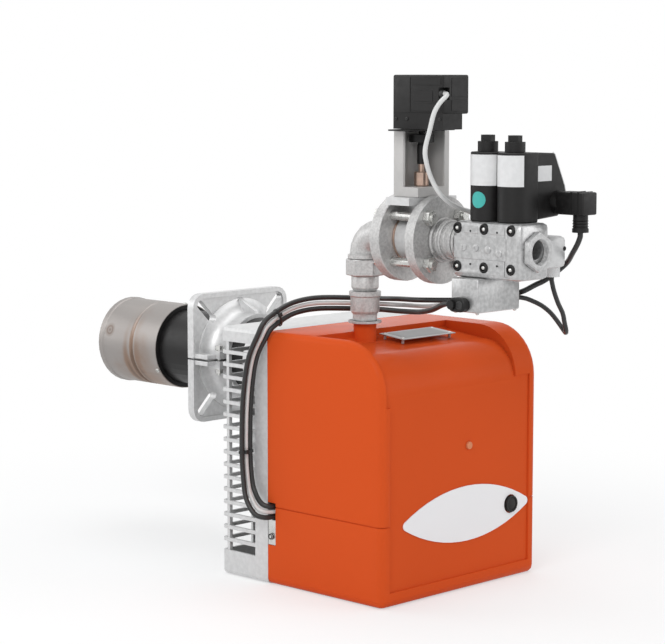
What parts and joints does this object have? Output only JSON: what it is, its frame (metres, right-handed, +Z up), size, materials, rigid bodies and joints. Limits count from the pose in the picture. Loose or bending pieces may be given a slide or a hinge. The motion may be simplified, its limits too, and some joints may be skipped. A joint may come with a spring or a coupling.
{
  "type": "gas burner",
  "caption": "Forced-draught gas burner: moulded cover on a louvred cast body, blast tube with sliding flange, and a flanged gas train with throttle servo and twin-coil valve.",
  "frame": {"origin": "middle of the cast body's underside, below the burner axis", "axes": "+Z up, +Y along the blast tube from the cover towards the boiler, +X to the right seen from the cover"},
  "size_m": [0.3401, 0.8898, 0.69],
  "materials": {
    "cast_aluminium": "die-cast, sand-grey",
    "machined_aluminium": "machined, slightly glossy",
    "zinc_steel": "zinc plated",
    "heat_steel": "stainless, heat tinted",
    "galvanised_iron": "malleable iron, galvanised",
    "brass": "copper coloured",
    "black_paint": "satin black",
    "black_plastic": "moulded, matt",
    "white_panel": "smooth light grey",
    "orange_plastic": "glossy orange",
    "cable_sheath": "matt black",
    "white_sheath": "off-white"
  },
  "bodies": {
    "burner": {"blast_tube": "black_paint", "butterfly_body": "cast_aluminium", "cable_clamp": "zinc_steel", "cable_link": "cable_sheath", "cable_servo": "white_sheath", "cable_switch": "cable_sheath", "cable_valve": "cable_sheath", "coil_1": "black_plastic", "coil_2": "black_plastic", "coil_nut_1": "black_plastic", "coil_nut_2": "black_plastic", "control_box": "black_plastic", "cover": "orange_plastic", "cover_screw": "zinc_steel", "diffuser_disc": "heat_steel", "elbow": "galvanised_iron", "fan_motor": "cast_aluminium", "flame_probe": "white_panel", "flange_front": "galvanised_iron", "flange_rear": "galvanised_iron", "flange_stud_1": "zinc_steel", "flange_stud_2": "zinc_steel", "flange_stud_3": "zinc_steel", "flange_stud_4": "zinc_steel", "front_plate": "white_panel", "gas_lance": "zinc_steel", "gas_riser": "galvanised_iron", "gasket_front": "brass", "gasket_rear": "brass", "gland_nut": "brass", "head_sleeve": "heat_steel", "housing": "cast_aluminium", "ignition_electrode": "white_panel", "inlet_port": "machined_aluminium", "motor_plate": "cast_aluminium", "pressure_plug": "black_plastic", "pressure_switch": "machined_aluminium", "rating_plate": "machined_aluminium", "reducer_socket": "galvanised_iron", "reset_bezel": "black_plastic", "rosette": "machined_aluminium", "servo_body": "black_plastic", "servo_bracket": "cast_aluminium", "servo_plate": "black_paint", "side_switch": "cast_aluminium", "terminal_box": "black_plastic", "transformer": "black_plastic", "union_nut": "galvanised_iron", "union_tail": "galvanised_iron", "valve_block": "machined_aluminium", "valve_plug": "black_plastic"},
    "flange_slide": {"flange": "cast_aluminium", "clamp_bolt": "zinc_steel"},
    "fan": {"fan_impeller": "zinc_steel"},
    "damper": {"air_damper": "zinc_steel"},
    "throttle": {"throttle_disc": "brass", "servo_coupling": "black_plastic"},
    "plunger_left": {"plunger_1": "zinc_steel"},
    "plunger_right": {"plunger_2": "zinc_steel"},
    "button": {"reset_button": "black_plastic"}
  },
  "joints": [
    {"name": "flange_slide", "type": "slide", "parent": "burner", "child": "flange_slide", "axis": [0, 1, 0], "range_m": [-0.028, 0.094]},
    {"name": "fan_spin", "type": "hinge", "parent": "burner", "child": "fan", "pos_m": [0, -0.022, 0.13], "axis": [0, 1, 0], "continuous": true},
    {"name": "damper_turn", "type": "hinge", "parent": "burner", "child": "damper", "pos_m": [-0.118, 0.006, 0.155], "axis": [0, 0, 1], "range_deg": [0, 90]},
    {"name": "throttle_turn", "type": "hinge", "parent": "burner", "child": "throttle", "pos_m": [-0.0595, -0.2363, 0.5], "axis": [0, 0, 1], "range_deg": [0, 90]},
    {"name": "plunger_left_lift", "type": "slide", "parent": "burner", "child": "plunger_left", "axis": [0, 0, 1], "range_m": [0, 0.003], "stiffness_N_per_m": 400, "springref_m": -0.004},
    {"name": "plunger_right_lift", "type": "slide", "parent": "burner", "child": "plunger_right", "axis": [0, 0, 1], "range_m": [0, 0.003], "stiffness_N_per_m": 400, "springref_m": -0.004},
    {"name": "button_press", "type": "slide", "parent": "burner", "child": "button", "axis": [0, 1, 0], "range_m": [0, 0.003], "stiffness_N_per_m": 300, "springref_m": -0.001}
  ]
}
